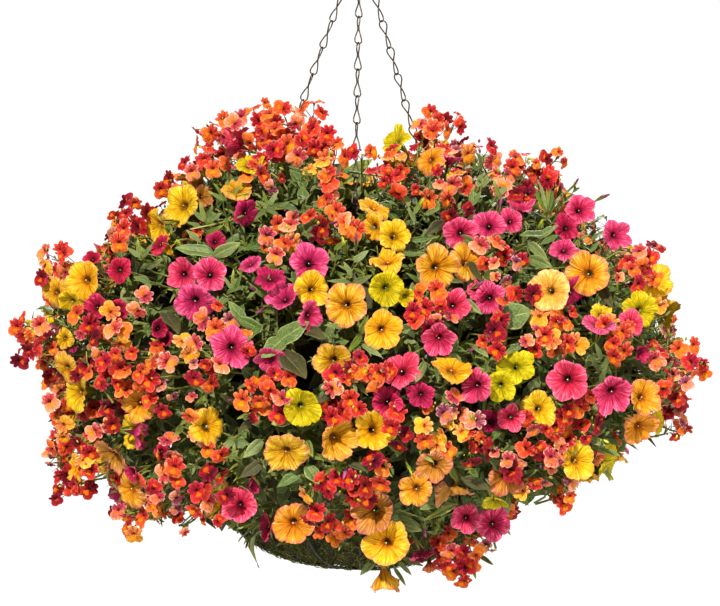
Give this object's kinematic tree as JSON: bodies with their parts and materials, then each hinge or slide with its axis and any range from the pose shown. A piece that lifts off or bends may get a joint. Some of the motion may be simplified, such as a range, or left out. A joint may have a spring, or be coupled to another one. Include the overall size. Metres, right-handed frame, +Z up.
{
  "type": "petunia hanging basket",
  "caption": "Round moss-lined wire hanging basket on chains, overflowing with trumpet-shaped petunias and small two-lipped nemesias in pink, red, orange and yellow.",
  "frame": {"origin": "where the inner bend of the top hook rests on the bracket that carries the basket", "axes": "+Z up out of the hook, -Y the side that is seen from the front, +X to the right of it"},
  "size_m": [0.7723, 0.7187, 0.8042],
  "materials": {
    "hook_wire": "dark bronze, dull",
    "chain_wire": "dark bronze, worn, satin",
    "bowl_wire": "dark green coated wire, satin",
    "moss": "matte, stringy",
    "compost": "matte, crumbly",
    "leaves": "soft satin leaf",
    "petunia_petals": "velvety petal",
    "nemesia_petals": "velvety petal"
  },
  "bodies": {
    "root": {"top_hook": "hook_wire", "gathering_ring": "hook_wire", "rim_clip_left": "hook_wire", "rim_clip_front": "hook_wire", "rim_clip_right": "hook_wire", "chain_left": "chain_wire", "chain_front": "chain_wire", "chain_right": "chain_wire", "wire_bowl": "bowl_wire", "moss_lining": "moss", "compost": "compost", "foliage_front_right_upper": "leaves", "petunia_front_right_upper": "petunia_petals", "nemesia_front_right_upper": "nemesia_petals", "foliage_front_right_lower": "leaves", "petunia_front_right_lower": "petunia_petals", "nemesia_front_right_lower": "nemesia_petals", "foliage_right_upper": "leaves", "petunia_right_upper": "petunia_petals", "nemesia_right_upper": "nemesia_petals", "foliage_right_lower": "leaves", "petunia_right_lower": "petunia_petals", "nemesia_right_lower": "nemesia_petals", "foliage_back_right_upper": "leaves", "petunia_back_right_upper": "petunia_petals", "nemesia_back_right_upper": "nemesia_petals", "foliage_back_right_lower": "leaves", "petunia_back_right_lower": "petunia_petals", "nemesia_back_right_lower": "nemesia_petals", "foliage_back_left_upper": "leaves", "petunia_back_left_upper": "petunia_petals", "nemesia_back_left_upper": "nemesia_petals", "foliage_back_left_lower": "leaves", "petunia_back_left_lower": "petunia_petals", "nemesia_back_left_lower": "nemesia_petals", "foliage_left_upper": "leaves", "petunia_left_upper": "petunia_petals", "nemesia_left_upper": "nemesia_petals", "foliage_left_lower": "leaves", "petunia_left_lower": "petunia_petals", "nemesia_left_lower": "nemesia_petals", "foliage_front_left_upper": "leaves", "petunia_front_left_upper": "petunia_petals", "nemesia_front_left_upper": "nemesia_petals", "foliage_front_left_lower": "leaves", "petunia_front_left_lower": "petunia_petals", "nemesia_front_left_lower": "nemesia_petals"}
  },
  "joints": []
}
